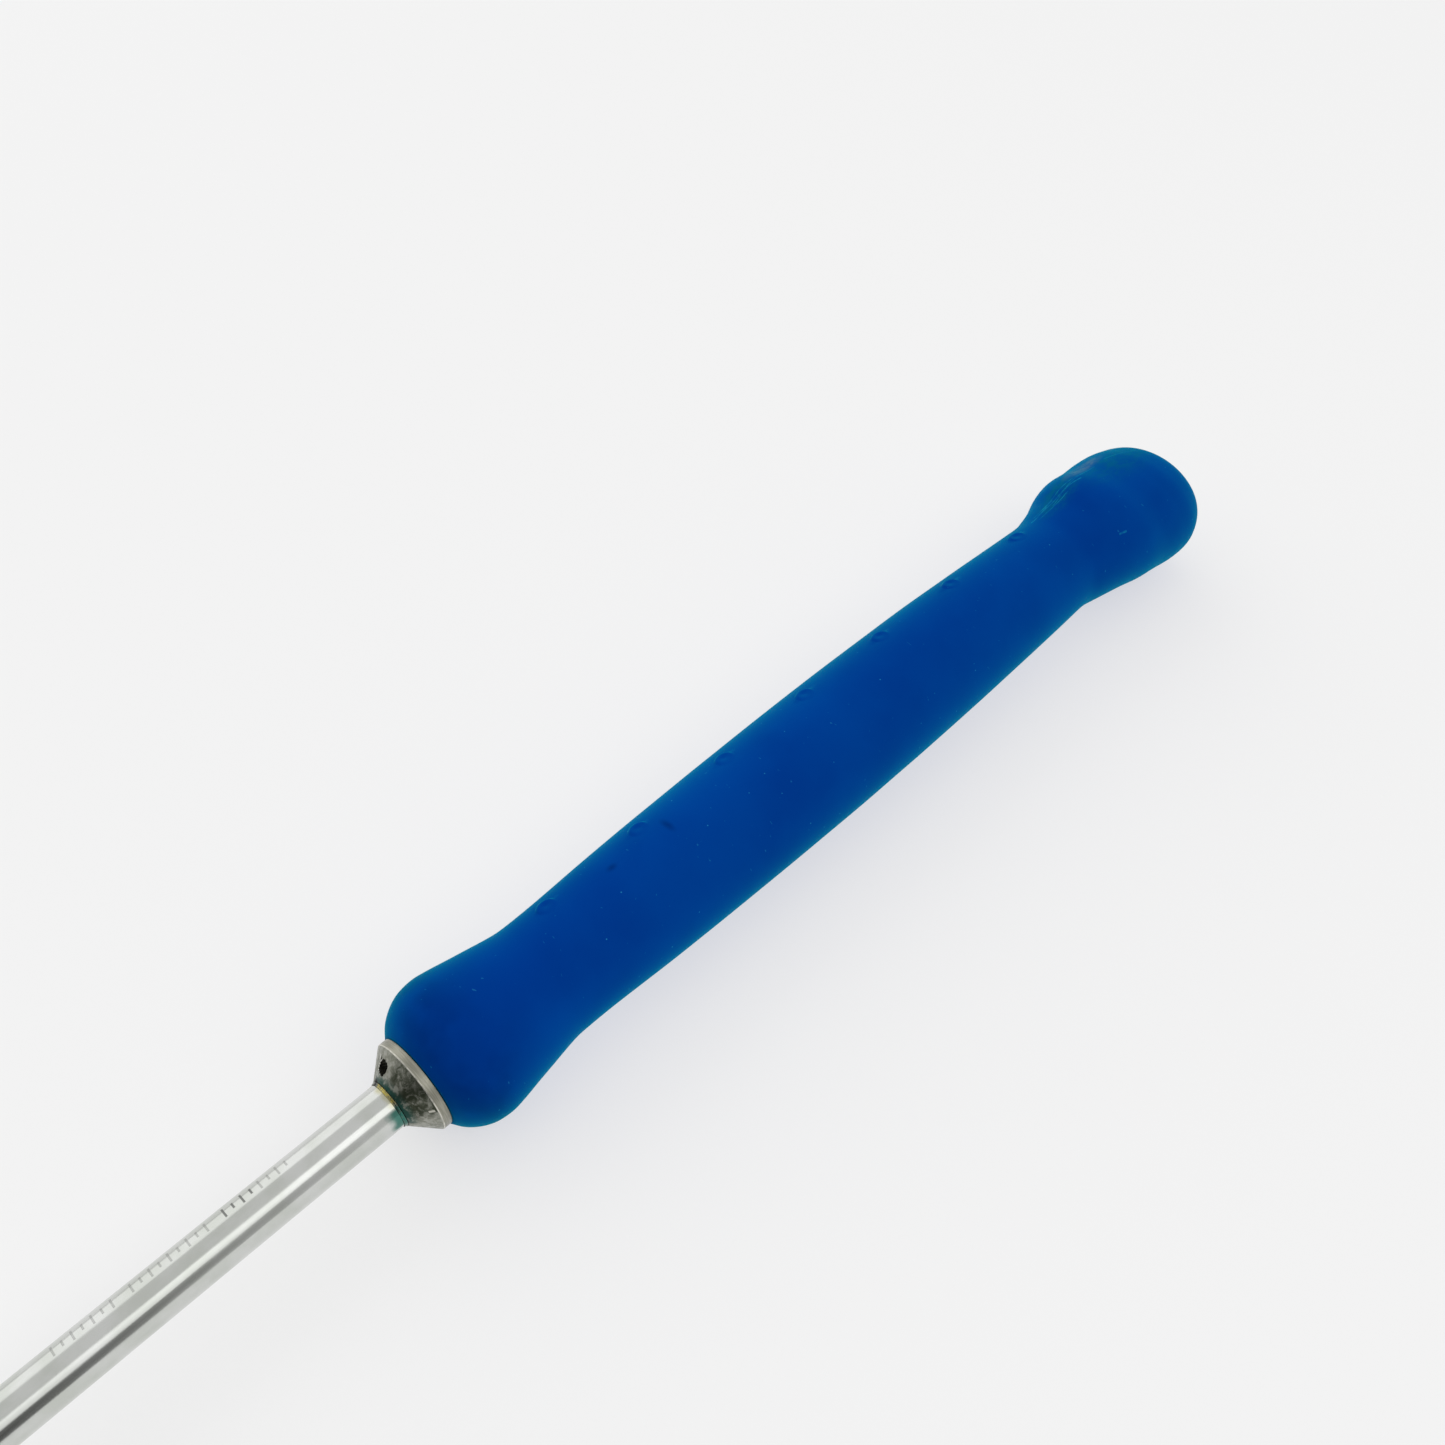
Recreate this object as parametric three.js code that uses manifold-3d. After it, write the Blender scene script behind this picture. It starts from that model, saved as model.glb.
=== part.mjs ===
// Hand scaler with a moulded silicone handle, in millimetres, +Z up.
//
// Every piece is drawn about the instrument's own axis, which is X: the tip points to +X and x = 0 is the
// front edge of the collar's rim. The finished assembly then lies on its two bulges, on the plane z = 0.

import * as THREE from 'three';
import { mergeVertices } from 'three/addons/utils/BufferGeometryUtils.js';
import { ConvexGeometry } from 'three/addons/geometries/ConvexGeometry.js';
import Module from 'manifold-3d';

const wasm = await Module();
wasm.setup();

// Fits and facets
const GAP = 0.1; // between two faces that meet
const SIDES = 36; // facets round a turned piece, with flats at the top, bottom and sides
const PIN_SIDES = 16; // facets round a pin, a hole or a stud
const MERGE = 1e-4;

// Shaft
const SHAFT_R = 3.175; // quarter-inch bar
const SHAFT_FRONT = 118;
const SHAFT_TAIL = -60;
const SHAFT_CHAMFER = 0.4;
const TANG_R = 1.6;
const TANG_LENGTH = 14;

// Collar
const RIM_R = 6.6;
const RIM_LENGTH = 1.17;
const CONE_LENGTH = 3.05; // at 45 degrees
const CONE_TIP_R = RIM_R - CONE_LENGTH;
const SPIGOT_R = 4.8;
const SPIGOT_LENGTH = 12.8;
const RELIEF_R = 4.1; // the clearance round the shaft that the vent opens into
const RELIEF_FRONT = 1.2;
const VENT_R = 1.02;
const VENT_X = 1.65;
const VENT_TURN = THREE.MathUtils.degToRad(28.5); // from the top
const WELD_LENGTH = 0.6;
const WELD_WAIST = [0.27, 0.12]; // [distance from the cone, height above the bore] where the fillet hollows
const WELD_EDGE = 0.04;

// Core tube and what closes it
const TUBE_R = 5.6;
const TUBE_BORE_R = SPIGOT_R + GAP;
const TUBE_REAR = -150;
const GROOVES = [-30, -70, -96, -122, -142]; // the silicone keys into these
const GROOVE_WIDTH = 4;
const GROOVE_DEPTH = 0.4;
const PLUG_DEPTH = 10;
const PLUG_HEAD = 1.5;
const BUSH_X = -54;
const BUSH_LENGTH = 8;
const PIN_R = 1;
const HOLE_R = PIN_R + GAP;
const HOLE_LENGTH = 4 * RIM_R; // goes right through any of the pieces
const COLLAR_PIN_X = -9;
const TIP_PIN_R = 0.6;
const TIP_PIN_X = 112;

// Silicone grip: outlines in the plane of the studs, as [distance back from the rim's front edge, radius]
const GRIP_FRONT = RIM_LENGTH + GAP;
const FRONT_NECK = 20;
const REAR_NECK = 132;
const NOSE = [
  [GRIP_FRONT, 6.9], [2.2, 8.15], [3.2, 9.04], [4.5, 9.83], [6, 10.35],
  [8, 10.54], [10, 10.32], [13, 9.79], [16, 9.29], [FRONT_NECK, 8.59],
];
const BELLY = [
  [FRONT_NECK, 8.59], [26, 8.66], [40, 9.24], [60, 9.7],
  [80, 9.84], [100, 9.6], [118, 9.04], [REAR_NECK, 8.41],
];
const BOW = 0.2; // how far the belly's rear end is set away from the studs
const BOW_START = 100;
const GRIP_END = 162.7;
const CAP = [ // over the end, from the studs' side round to the far side, whose radii are negative
  [REAR_NECK, 8.21], [136.7, 9.28], [139.6, 10.5], [142.5, 10.98], [146.1, 10.66],
  [149.9, 10.56], [153.9, 10.03], [158.3, 8.4], [161.2, 4.6], [GRIP_END, 0],
  [162.8, -5.5], [162, -10], [158.9, -12.15], [154.8, -12.4], [150, -11.75],
  [146, -11.2], [142, -10.35], [137, -9.5], [REAR_NECK, -8.61],
];
const [NOSE_STEPS, BELLY_STEPS, CAP_STEPS] = [12, 14, 18]; // rings along each stretch
const REST_FLAT = 0.15; // how deep the silicone's two resting flats are
const GROUND = [400, 60, 10]; // the slab that the flats are pressed against

// Finger studs, in a row along one side of the grip
const ROLL = THREE.MathUtils.degToRad(25.5); // the side that studs and tip share, from the top
const STUD_COUNT = 7;
const STUD_FIRST = 26.5;
const STUD_PITCH = 16.64;
const STUD_R = 1.4;
const STUD_HEIGHT = 0.35;

// Scaler tip, drawn in the XZ plane with the blade pointing down
const SHOULDER = [[119.5, SHAFT_R], [124, 2.6], [129, 1.95], [133, 1.75]];
const SHANK = [[131, 0], [136, 0.6], [143, 3.6], [150, 6.4], [156, 6.6], [159.4, 4.4]];
const SHANK_R = [1.8, 1.15]; // at its root and at the blade
const [SHANK_STEPS, SHANK_SIDES] = [16, 14];
const BLADE = [ // [x, y, z]: the two heel corners and toe of the flat face, then the back's ridge
  [158.3, 1.15, 4.4], [158.3, -1.15, 4.4], [160.1, 0, -3.2],
  [160.6, 0.75, 5], [160.6, -0.75, 5], [161.2, 0, 4.2], [161.3, 0, 0.5],
];

// Materials
const SILICONE = new THREE.MeshStandardMaterial({ color: 0x0a3f8f, roughness: 0.6, metalness: 0 });
const POLISHED = new THREE.MeshStandardMaterial({ color: 0xc4c6c2, roughness: 0.28, metalness: 1 });
const TARNISHED = new THREE.MeshStandardMaterial({ color: 0x8b8b80, roughness: 0.42, metalness: 1 });
const WELD = new THREE.MeshStandardMaterial({ color: 0x9a8f52, roughness: 0.4, metalness: 1 });
const MILL_STEEL = new THREE.MeshStandardMaterial({ color: 0xa3a5a6, roughness: 0.5, metalness: 1 });
const PIN_STEEL = new THREE.MeshStandardMaterial({ color: 0xb4b5b2, roughness: 0.35, metalness: 1 });

// The same surface with only its positions, its shared corners merged and its collapsed triangles gone
function closed(geometry) {
  const bare = geometry.clone();
  bare.deleteAttribute('normal');
  bare.deleteAttribute('uv');
  const merged = mergeVertices(bare, MERGE);
  const corners = merged.index.array;
  const kept = [];
  for (let i = 0; i < corners.length; i += 3) {
    const [a, b, c] = corners.slice(i, i + 3);
    if (a !== b && b !== c && c !== a) kept.push(a, b, c);
  }
  merged.setIndex(kept);
  return merged;
}

function solid(geometry) {
  const body = closed(geometry);
  return new wasm.Manifold(new wasm.Mesh({
    numProp: 3,
    vertProperties: Float32Array.from(body.attributes.position.array),
    triVerts: Uint32Array.from(body.index.array),
  }));
}

function surface(manifold) {
  const mesh = manifold.getMesh();
  const geometry = new THREE.BufferGeometry();
  geometry.setAttribute('position', new THREE.BufferAttribute(mesh.vertProperties, 3));
  geometry.setIndex(new THREE.BufferAttribute(mesh.triVerts, 1));
  return geometry;
}

function piece(name, geometry, material) {
  const mesh = new THREE.Mesh(geometry, material);
  mesh.name = name;
  return mesh;
}

// A body turned about X from [x, radius] points, which run from the rear to the front along the outside.
// Its flats, not its corners, lie at the stated radius.
function turned(profile) {
  const scale = 1 / Math.cos(Math.PI / SIDES);
  const points = profile.map(([x, r]) => new THREE.Vector2(r * scale, x));
  const lathe = new THREE.LatheGeometry(points, SIDES, Math.PI / SIDES);
  return closed(lathe.rotateZ(-Math.PI / 2));
}

// A pin across the axis, along Y
function crossRod(x, radius, length) {
  return new THREE.CylinderGeometry(radius, radius, length, PIN_SIDES).translate(x, 0, 0);
}

function drilled(geometry, ...holes) {
  return surface(holes.reduce((body, hole) => body.subtract(solid(hole)), solid(geometry)));
}

function frontCollar() {
  const body = turned([
    [-RIM_LENGTH - SPIGOT_LENGTH, RELIEF_R],
    [-RIM_LENGTH - SPIGOT_LENGTH, SPIGOT_R],
    [-RIM_LENGTH, SPIGOT_R],
    [-RIM_LENGTH, RIM_R],
    [0, RIM_R],
    [CONE_LENGTH, CONE_TIP_R],
    [CONE_LENGTH, SHAFT_R + GAP],
    [RELIEF_FRONT, SHAFT_R + GAP],
    [RELIEF_FRONT, RELIEF_R],
    [-RIM_LENGTH - SPIGOT_LENGTH, RELIEF_R],
  ]);
  // The vent goes in square to the cone, as far as the relief round the shaft
  const depth = (RIM_R - RELIEF_R) * 2;
  const vent = new THREE.CylinderGeometry(VENT_R, VENT_R, depth, PIN_SIDES);
  vent.rotateX(Math.PI / 2);
  vent.rotateY(Math.PI / 4);
  vent.translate(VENT_X, 0, RIM_R - VENT_X);
  vent.rotateX(VENT_TURN);
  return drilled(body, vent, crossRod(COLLAR_PIN_X, HOLE_R, HOLE_LENGTH));
}

function weldBead() {
  const rear = CONE_LENGTH + GAP;
  const bore = SHAFT_R + GAP;
  return turned([
    [rear, bore],
    [rear, CONE_TIP_R],
    [rear + WELD_WAIST[0], bore + WELD_WAIST[1]],
    [rear + WELD_LENGTH, bore + WELD_EDGE],
    [rear + WELD_LENGTH, bore],
    [rear, bore],
  ]);
}

function shaft() {
  const body = turned([
    [SHAFT_TAIL, 0],
    [SHAFT_TAIL, SHAFT_R - SHAFT_CHAMFER],
    [SHAFT_TAIL + SHAFT_CHAMFER, SHAFT_R],
    [SHAFT_FRONT, SHAFT_R],
    [SHAFT_FRONT, TANG_R + GAP],
    [SHAFT_FRONT - TANG_LENGTH - GAP, TANG_R + GAP],
    [SHAFT_FRONT - TANG_LENGTH - GAP, 0],
  ]);
  return drilled(
    body,
    crossRod(COLLAR_PIN_X, HOLE_R, HOLE_LENGTH),
    crossRod(BUSH_X, HOLE_R, HOLE_LENGTH),
    crossRod(TIP_PIN_X, TIP_PIN_R + GAP, HOLE_LENGTH),
  );
}

function tailBush() {
  const rear = BUSH_X - BUSH_LENGTH / 2;
  const front = BUSH_X + BUSH_LENGTH / 2;
  const body = turned([
    [rear, SHAFT_R + GAP],
    [rear, SPIGOT_R],
    [front, SPIGOT_R],
    [front, SHAFT_R + GAP],
    [rear, SHAFT_R + GAP],
  ]);
  return drilled(body, crossRod(BUSH_X, HOLE_R, HOLE_LENGTH));
}

// Steps down and up again at each groove, from the rear to the front, for a skin of the given radius
function grooveSteps(radius, width) {
  return [...GROOVES].reverse().flatMap((x) => [
    [x - width / 2, radius],
    [x - width / 2, radius - GROOVE_DEPTH],
    [x + width / 2, radius - GROOVE_DEPTH],
    [x + width / 2, radius],
  ]);
}

function coreTube() {
  const front = -RIM_LENGTH - GAP;
  const body = turned([
    [TUBE_REAR, TUBE_BORE_R],
    [TUBE_REAR, TUBE_R],
    ...grooveSteps(TUBE_R, GROOVE_WIDTH),
    [front, TUBE_R],
    [front, TUBE_BORE_R],
    [TUBE_REAR, TUBE_BORE_R],
  ]);
  return drilled(body, crossRod(COLLAR_PIN_X, HOLE_R, HOLE_LENGTH), crossRod(BUSH_X, HOLE_R, HOLE_LENGTH));
}

function rearPlug() {
  const seat = TUBE_REAR - GAP;
  return turned([
    [seat - PLUG_HEAD, 0],
    [seat - PLUG_HEAD, TUBE_R],
    [seat, TUBE_R],
    [seat, SPIGOT_R],
    [TUBE_REAR + PLUG_DEPTH, SPIGOT_R],
    [TUBE_REAR + PLUG_DEPTH, 0],
  ]);
}

// The hollow that the core tube and its plug fill
function gripCavity() {
  const wall = TUBE_R + GAP;
  const rear = TUBE_REAR - PLUG_HEAD - 2 * GAP;
  const ribs = grooveSteps(wall, GROOVE_WIDTH - 2 * GAP);
  return turned([[rear, 0], [rear, wall], ...ribs, [0, wall], [0, 0]]);
}

function alongSpline(points, steps) {
  const curve = new THREE.SplineCurve(points.map(([back, r]) => new THREE.Vector2(back, r)));
  return curve.getPoints(steps).map((p) => [p.x, p.y]);
}

// The grip's outline from its front to the end of its axis: side is 1 on the studs' side, -1 on the far side
function gripOutline(side) {
  const belly = alongSpline(BELLY, BELLY_STEPS).map(([back, r]) => {
    const share = THREE.MathUtils.smoothstep(back, BOW_START, REAR_NECK);
    return [back, r - side * BOW * share];
  });
  const cap = alongSpline(CAP, 2 * CAP_STEPS);
  const half = side > 0 ? cap.slice(0, CAP_STEPS) : cap.slice(CAP_STEPS + 1).reverse();
  return [
    [GRIP_FRONT, 0],
    ...alongSpline(NOSE, NOSE_STEPS),
    ...belly.slice(1),
    ...half.slice(1).map(([back, r]) => [back, Math.abs(r)]),
    [GRIP_END, 0],
  ];
}

// The outside of the grip: a turned body whose outline changes round it from the studs' side to the far side
function gripSkin() {
  const near = gripOutline(1).reverse();
  const far = gripOutline(-1).reverse();
  const geometry = new THREE.LatheGeometry(near.map(([back, r]) => new THREE.Vector2(r, -back)), SIDES);
  const corner = 1 / Math.cos(Math.PI / SIDES);
  for (let i = 0; i <= SIDES; i++) {
    const angle = ((2 * i + 1) * Math.PI) / SIDES;
    const share = (1 - Math.cos(angle - ROLL)) / 2;
    near.forEach(([back, radius], j) => {
      const x = THREE.MathUtils.lerp(back, far[j][0], share);
      const r = THREE.MathUtils.lerp(radius, far[j][1], share) * corner;
      const vertex = i * near.length + j;
      geometry.attributes.position.setXYZ(vertex, -x, -r * Math.sin(angle), r * Math.cos(angle));
    });
  }
  return closed(geometry);
}

// A low round stud: the cap of a ball that stands out of the skin
function stud(back, skinRadius) {
  const ball = (STUD_R ** 2 + STUD_HEIGHT ** 2) / (2 * STUD_HEIGHT);
  const geometry = new THREE.SphereGeometry(ball, PIN_SIDES, PIN_SIDES);
  geometry.translate(-back, 0, skinRadius + STUD_HEIGHT - ball);
  return geometry.rotateX(ROLL);
}

// The row of studs, each at the height that the skin has there
function studs() {
  const outline = gripOutline(1);
  return Array.from({ length: STUD_COUNT }, (_, i) => {
    const back = STUD_FIRST + i * STUD_PITCH;
    const after = outline.findIndex(([station]) => station > back);
    const [[start, startR], [end, endR]] = outline.slice(after - 1, after + 1);
    return stud(back, THREE.MathUtils.mapLinear(back, start, end, startR, endR));
  });
}

// The lowest corner of a surface between two places along X
function lowest(geometry, from, to) {
  const position = geometry.attributes.position;
  const low = new THREE.Vector3(0, 0, Infinity);
  const point = new THREE.Vector3();
  for (let i = 0; i < position.count; i++) {
    point.fromBufferAttribute(position, i);
    if (point.x > from && point.x < to && point.z < low.z) low.copy(point);
  }
  return low;
}

function siliconeGrip(skin, ground) {
  let body = solid(skin);
  for (const cap of studs()) body = body.add(solid(cap));
  return surface(body.subtract(solid(gripCavity())).subtract(solid(ground)));
}

// A round rod that narrows along a curve, closed at both ends
function taperedRod(curve, [startRadius, endRadius], steps, sides) {
  const frames = curve.computeFrenetFrames(steps);
  const corners = [];
  const faces = [];
  for (let i = 0; i <= steps; i++) {
    const centre = curve.getPointAt(i / steps);
    const radius = THREE.MathUtils.lerp(startRadius, endRadius, i / steps);
    for (let j = 0; j < sides; j++) {
      const angle = (2 * Math.PI * j) / sides;
      corners.push(centre.clone()
        .addScaledVector(frames.normals[i], radius * Math.cos(angle))
        .addScaledVector(frames.binormals[i], radius * Math.sin(angle)));
      if (i === steps) continue;
      const [a, b] = [i * sides + j, i * sides + ((j + 1) % sides)];
      faces.push(a, b, a + sides, b, b + sides, a + sides);
    }
  }
  for (let j = 1; j < sides - 1; j++) {
    const last = steps * sides;
    faces.push(0, j + 1, j, last, last + j, last + j + 1);
  }
  const geometry = new THREE.BufferGeometry().setFromPoints(corners);
  geometry.setIndex(faces);
  return geometry;
}

function scalerTip() {
  const seat = SHAFT_FRONT + GAP;
  const root = turned([
    [SHAFT_FRONT - TANG_LENGTH, 0],
    [SHAFT_FRONT - TANG_LENGTH, TANG_R],
    [seat, TANG_R],
    [seat, SHAFT_R],
    ...SHOULDER,
    [SHOULDER.at(-1)[0], 0],
  ]);
  const line = new THREE.CatmullRomCurve3(SHANK.map(([x, z]) => new THREE.Vector3(x, 0, z)));
  const shank = taperedRod(line, SHANK_R, SHANK_STEPS, SHANK_SIDES);
  const blade = new ConvexGeometry(BLADE.map((corner) => new THREE.Vector3(...corner)));
  const body = solid(root).add(solid(shank)).add(solid(blade));
  return drilled(surface(body).rotateX(ROLL), crossRod(TIP_PIN_X, TIP_PIN_R + GAP, HOLE_LENGTH));
}

// The instrument lies on the lowest corners of its two bulges, on a slab whose top the silicone flattens on
const skin = gripSkin();
const rearLow = lowest(skin, -GRIP_END, -REAR_NECK);
const frontLow = lowest(skin, -FRONT_NECK, 0);
const restTilt = Math.atan2(frontLow.z - rearLow.z, frontLow.x - rearLow.x);
const ground = new THREE.BoxGeometry(...GROUND)
  .translate(0, 0, REST_FLAT - GROUND[2] / 2)
  .rotateY(-restTilt)
  .translate(rearLow.x, 0, rearLow.z);

const instrument = new THREE.Group();
instrument.add(
  piece('silicone_grip', siliconeGrip(skin, ground), SILICONE),
  piece('core_tube', coreTube(), MILL_STEEL),
  piece('rear_plug', rearPlug(), MILL_STEEL),
  piece('front_collar', frontCollar(), TARNISHED),
  piece('weld_bead', weldBead(), WELD),
  piece('shaft', shaft(), POLISHED),
  piece('tail_bush', tailBush(), MILL_STEEL),
  piece('collar_pin', crossRod(COLLAR_PIN_X, PIN_R, 2 * TUBE_R - GAP), PIN_STEEL),
  piece('tail_pin', crossRod(BUSH_X, PIN_R, 2 * TUBE_R - GAP), PIN_STEEL),
  piece('scaler_tip', scalerTip(), POLISHED),
  piece('tip_pin', crossRod(TIP_PIN_X, TIP_PIN_R, 2 * SHAFT_R - GAP), PIN_STEEL),
);

// It is turned until both flats face straight down, and the origin is under its middle, on the ground
instrument.rotation.y = restTilt;
const scaler = new THREE.Group();
scaler.add(instrument);
const bounds = new THREE.Box3().setFromObject(scaler, true);
const middle = bounds.getCenter(new THREE.Vector3());
instrument.position.set(-middle.x, -middle.y, -bounds.min.z);
scaler.updateMatrixWorld(true);

export default scaler;
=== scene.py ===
"""A hand scaler with a blue silicone handle, lying on a pale table.

Everything is drawn in the instrument's own frame: its axis is X with the working tip at +X, x = 0 is the
front edge of the collar's rim, and Z is up. Lengths are in millimetres until a mesh is placed, in metres,
in the frame of the CAD model. An angle round the axis is measured from the top towards -Y.
"""

import math
import random

import bmesh
import bpy
from mathutils import Matrix, Vector, noise


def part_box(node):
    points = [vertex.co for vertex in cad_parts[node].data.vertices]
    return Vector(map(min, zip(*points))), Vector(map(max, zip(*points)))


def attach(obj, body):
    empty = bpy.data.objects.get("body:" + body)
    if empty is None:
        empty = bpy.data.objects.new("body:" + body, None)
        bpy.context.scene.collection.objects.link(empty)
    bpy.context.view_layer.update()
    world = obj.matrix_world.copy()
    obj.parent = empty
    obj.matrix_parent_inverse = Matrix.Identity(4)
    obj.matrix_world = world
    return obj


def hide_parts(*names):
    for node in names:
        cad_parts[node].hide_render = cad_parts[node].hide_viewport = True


MM = 0.001
SHARP_ANGLE = 40  # degrees between two faces, from which their edge is drawn sharp
random.seed(7)

# ---------------------------------------------------------------- sizes, as in the CAD model
ROLL = math.radians(25.5)  # the side that studs and tip share
SHAFT_R = 3.175
SHAFT_FRONT = 118
SHAFT_TAIL = -60
TANG_R = 1.7
TANG_DEPTH = 14
RIM_R = 6.6
RIM_LENGTH = 1.17
CONE_LENGTH = 3.05
CONE_TIP_R = RIM_R - CONE_LENGTH
SPIGOT_R = 4.8
SPIGOT_REAR = -13.97
RELIEF_R = 4.1
RELIEF_FRONT = 1.2
VENT_R = 1.02
VENT_X = 1.65
VENT_TURN = math.radians(28.5)
VENT_DEPTH = 5  # of the drill, half of it outside the cone
VENT_RAGGED = 0.22
GAP = 0.1
TUBE_REAR = -150
TUBE_FRONT = -1.27
TUBE_R = 5.6
TIP_PIN_X = 112
TIP_PIN_R = 0.6
TIP_PIN_GAP = 0.06
BAR_AXIS_R = 0.8  # where the flat ends of the bar and of its bore begin to close towards the axis

# the silicone's outlines are (back, radius) points, counted back from the rim's front edge
GRIP_FRONT = 1.27
FRONT_NECK = 20
REAR_NECK = 132
GRIP_END = 162.7
NOSE = [
    (GRIP_FRONT, 6.9), (2.2, 8.15), (3.2, 9.04), (4.5, 9.83), (6, 10.35),
    (8, 10.54), (10, 10.32), (13, 9.79), (16, 9.29), (FRONT_NECK, 8.59),
]
BELLY = [
    (FRONT_NECK, 8.59), (26, 8.66), (40, 9.24), (60, 9.7),
    (80, 9.84), (100, 9.6), (118, 9.04), (REAR_NECK, 8.41),
]
BOW = 0.2  # how far the belly's rear bows to the far side
BOW_START = 100
# over the end, from the studs' side to the far side, whose radii are negative
CAP = [
    (REAR_NECK, 8.21), (136.7, 9.28), (139.6, 10.5), (142.5, 10.98), (146.1, 10.66),
    (149.9, 10.56), (153.9, 10.03), (158.3, 8.4), (161.2, 4.6), (GRIP_END, 0),
    (162.8, -5.5), (162, -10), (158.9, -12.15), (154.8, -12.4), (150, -11.75),
    (146, -11.2), (142, -10.35), (137, -9.5), (REAR_NECK, -8.61),
]
GRIP_BORE_R = 5.7
GRIP_BORE_REAR = 151.7
STUDS = [26.5 + 16.64 * i for i in range(7)]
STUD_R = 1.45
STUD_HEIGHT = 0.35
STUD_REACH = 2 * STUD_R  # beyond this a stud changes nothing
STUD_OFF = 0.35  # how far the row lies to the -Y side of the roll
SKIN_EASE = 0.04  # how far the fine skin stays inside the faceted one
NECK_EASE = 3.5  # how far from each neck the outline is smoothed
NECK_PASSES = 14
SWELL = 0.03  # the moulding's slight unevenness, and how many waves it has in a millimetre
SWELL_RATE = 0.11
GRIP_ROUND = 10  # the radius at which the grip's marks are laid out flat

# the laser ticks along the shaft
TICK_PITCH = 1.2
TICK_TURN = 24.0  # degrees
TICK_EDGE = 0.05
TICK_GROUPS = [(16.8, 25.5), (27.6, 38.3), (39.6, 47.9)]
TICK_DARKER = (21.6, 25.5)

SHOULDER = [(119.5, SHAFT_R), (124, 2.6), (129, 1.95), (133, 1.75)]
# [x, z, width, thickness] along the shank and then down the blade, in the plane of the roll
TIP_LINE = [
    (131.5, 0.02, 1.75, 1.75), (133, 0.15, 1.74, 1.74), (136, 0.65, 1.68, 1.68), (139.5, 1.9, 1.6, 1.6),
    (143, 3.55, 1.5, 1.5), (146.5, 5.15, 1.42, 1.42), (150, 6.25, 1.34, 1.34), (153.2, 6.65, 1.26, 1.26),
    (156, 6.35, 1.18, 1.18), (158.2, 5.3, 1.08, 1.06), (159.6, 3.75, 0.95, 0.9), (160.25, 2.1, 0.78, 0.76),
    (160.4, 0.5, 0.58, 0.6), (160.35, -1.0, 0.38, 0.42), (160.2, -2.2, 0.2, 0.24), (160.08, -3.0, 0.05, 0.06),
]
BLADE_START = 9  # the place in TIP_LINE from which the round shank turns into the three-sided blade
TIP_STEPS = 4  # rings between two points of TIP_LINE


# ---------------------------------------------------------------- frame
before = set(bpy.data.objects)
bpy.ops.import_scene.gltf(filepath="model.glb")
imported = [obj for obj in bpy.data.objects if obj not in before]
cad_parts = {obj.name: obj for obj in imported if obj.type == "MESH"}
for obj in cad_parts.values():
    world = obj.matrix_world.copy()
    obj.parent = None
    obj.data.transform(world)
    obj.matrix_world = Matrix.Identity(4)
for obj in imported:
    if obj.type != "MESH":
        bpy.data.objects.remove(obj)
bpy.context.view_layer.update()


def instrument_frame():
    """The matrix, in metres, from the instrument's frame to the CAD model's, by the core tube's box."""
    low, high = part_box("core_tube")
    span = high - low
    length = (TUBE_FRONT - TUBE_REAR) * MM
    width = 2 * TUBE_R * MM
    slope = math.atan2(length * span.z - width * span.x, length * span.x - width * span.z)
    turn = Matrix.Rotation(slope, 4, "Y")
    middle = turn @ Vector(((TUBE_REAR + TUBE_FRONT) / 2 * MM, 0, 0))
    return Matrix.Translation((low + high) / 2 - middle) @ turn


PLACE = instrument_frame()


# ---------------------------------------------------------------- mesh helpers
def smoothstep(low, high, value):
    t = min(max((value - low) / (high - low), 0), 1)
    return t * t * (3 - 2 * t)


def mix(a, b, share):
    return a + (b - a) * share


def spline_point(points, share):
    """A point at the given share of the way along a Catmull-Rom curve through the points."""
    place = share * (len(points) - 1)
    i = min(int(place), len(points) - 2)
    t = place - i
    p0, p1, p2, p3 = (points[min(max(k, 0), len(points) - 1)] for k in range(i - 1, i + 3))
    result = []
    for a, b, c, d in zip(p0, p1, p2, p3):
        start, end = (c - a) / 2, (d - b) / 2
        curve = (2 * (b - c) + start + end) * t**3 + (3 * (c - b) - 2 * start - end) * t**2
        result.append(curve + start * t + b)
    return tuple(result)


def around(x, radius, angle):
    """The point at that radius and angle round the axis."""
    return Vector((x, -radius * math.sin(angle), radius * math.cos(angle)))


def skinned(rings, closed_start=False, closed_end=False):
    """A mesh whose faces join each ring of points to the next; an end may be closed with a fan."""
    bm = bmesh.new()
    rows = [[bm.verts.new(p) for p in ring] for ring in rings]
    count = len(rows[0])
    for row, after in zip(rows, rows[1:]):
        for j in range(count):
            k = (j + 1) % count
            bm.faces.new((row[j], row[k], after[k], after[j]))
    for closed, row, flip in ((closed_start, rows[0], True), (closed_end, rows[-1], False)):
        if closed:
            middle = bm.verts.new(sum((v.co for v in row), Vector()) / count)
            for j in range(count):
                corners = (row[j], row[(j + 1) % count], middle)
                bm.faces.new(corners[::-1] if flip else corners)
    bmesh.ops.recalc_face_normals(bm, faces=bm.faces)
    return bm


def lathe(profile, sides, hollow=True):
    """A closed solid turned from (x, radius) points.

    A hollow one's points go right round its section, and a solid one's run from end to end of its outside.
    """
    angles = [2 * math.pi * j / sides for j in range(sides)]
    rings = [[around(x, radius, angle) for angle in angles] for x, radius in profile]
    return skinned(rings + [rings[0]]) if hollow else skinned(rings, True, True)


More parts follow.
